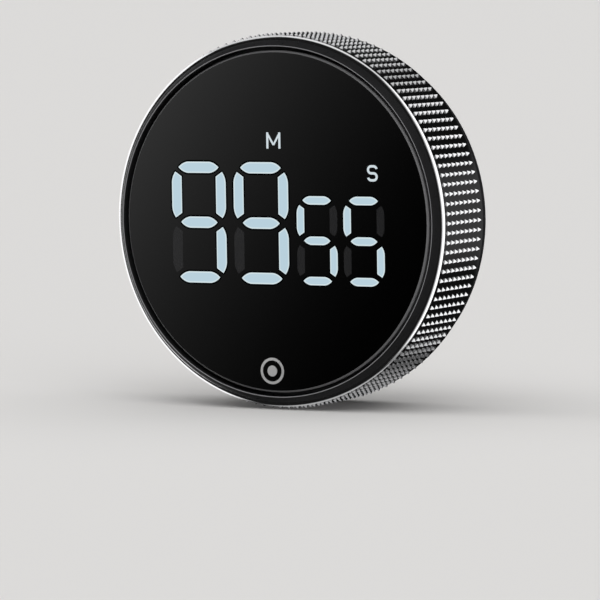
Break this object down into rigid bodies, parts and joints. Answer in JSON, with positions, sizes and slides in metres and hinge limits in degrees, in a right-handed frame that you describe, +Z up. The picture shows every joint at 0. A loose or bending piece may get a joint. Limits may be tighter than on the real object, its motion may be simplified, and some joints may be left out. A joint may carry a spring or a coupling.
{
  "type": "kitchen timer",
  "caption": "Round magnetic digital countdown timer: a knurled ring turns to set it, the glossy front presses to start it, and a slider and battery door are on the back.",
  "frame": {"origin": "centre of the rear face that meets the wall, on the timer's axis", "axes": "the front faces -Y and the wall is on the +Y side; +Z is up as the digits are read; +X is to the right of a person facing the timer"},
  "size_m": [0.079, 0.026, 0.079],
  "materials": {
    "knurled_metal": "dark chrome, knurled, with a polished front rim",
    "dark_bezel": "black anodised satin",
    "black_plastic": "matte moulded",
    "white_plastic": "satin moulded",
    "grey_component": "matte moulded",
    "gloss_black": "high gloss",
    "lit_segments": "glowing pale blue-white",
    "dark_segments": "gloss, unlit",
    "letter_white": "glowing white",
    "icon_grey": "printed grey",
    "foam_grey": "soft foam",
    "black_component": "matte epoxy",
    "black_case": "fine spark-eroded texture",
    "silicone_black": "soft matte silicone",
    "nickel": "nickel plated",
    "screw_steel": "zinc plated",
    "slider_grey": "satin moulded",
    "board_green": "solder mask",
    "ceramic_tan": "ceramic",
    "led_cream": "phosphor gel",
    "film_white": "milky film",
    "cell_jacket": "printed jacket, no marks"
  },
  "bodies": {
    "housing": {"middle_housing": "black_plastic", "rear_shell": "black_case", "grip_ring": "silicone_black", "magnets": "nickel", "glide_ring": "white_plastic", "rear_screws": "screw_steel", "main_board": "board_green", "controller_chip": "black_component", "board_components": "ceramic_tan", "board_screws": "screw_steel", "led_chips": "led_cream", "display_block": "white_plastic", "diffuser_film": "film_white", "return_foam": "foam_grey", "tact_switch_body": "grey_component", "encoder_body": "grey_component", "buzzer": "black_component", "volume_switch_body": "nickel", "battery_1": "cell_jacket", "battery_2": "cell_jacket", "battery_3": "cell_jacket", "battery_plate_contacts": "nickel", "battery_leaf_contacts": "nickel"},
    "knob": {"knurled_sleeve": "knurled_metal", "front_bezel": "dark_bezel", "knob_carrier": "black_plastic"},
    "encoder_pinion": {"encoder_gear": "white_plastic"},
    "front_panel": {"front_lens": "gloss_black", "press_frame": "black_plastic", "minute_segments": "lit_segments", "second_segments": "lit_segments", "unlit_segments": "dark_segments", "minute_letter": "letter_white", "second_letter": "letter_white", "start_icon": "icon_grey"},
    "switch_plunger": {"tact_switch_plunger": "black_component"},
    "volume_knob": {"volume_slider": "slider_grey", "volume_switch_lever": "black_component"},
    "door": {"battery_door": "black_case"}
  },
  "joints": [
    {"name": "knob_turn", "type": "hinge", "parent": "housing", "child": "knob", "pos_m": [0, 0, 0], "axis": [0, 1, 0], "continuous": true},
    {"name": "encoder_spin", "type": "hinge", "parent": "housing", "child": "encoder_pinion", "pos_m": [0, 0, 0.0288], "axis": [0, 1, 0], "continuous": true},
    {"name": "front_press", "type": "slide", "parent": "housing", "child": "front_panel", "axis": [0, 1, 0], "range_m": [0, 0.0005], "stiffness_N_per_m": 1500, "springref_m": -0.0008, "deforming": ["return_foam"]},
    {"name": "switch_click", "type": "slide", "parent": "housing", "child": "switch_plunger", "axis": [0, 1, 0], "range_m": [0, 0.0005]},
    {"name": "volume_slide", "type": "slide", "parent": "housing", "child": "volume_knob", "axis": [1, 0, 0], "range_m": [-0.002, 0.002]},
    {"name": "battery_door_lift", "type": "slide", "parent": "housing", "child": "door", "axis": [0, 1, 0], "range_m": [0, 0.02]}
  ],
  "couplings": [
    {"joint": "encoder_spin", "follows": "knob_turn", "ratio": 7},
    {"joint": "switch_click", "follows": "front_press", "ratio": 1}
  ]
}
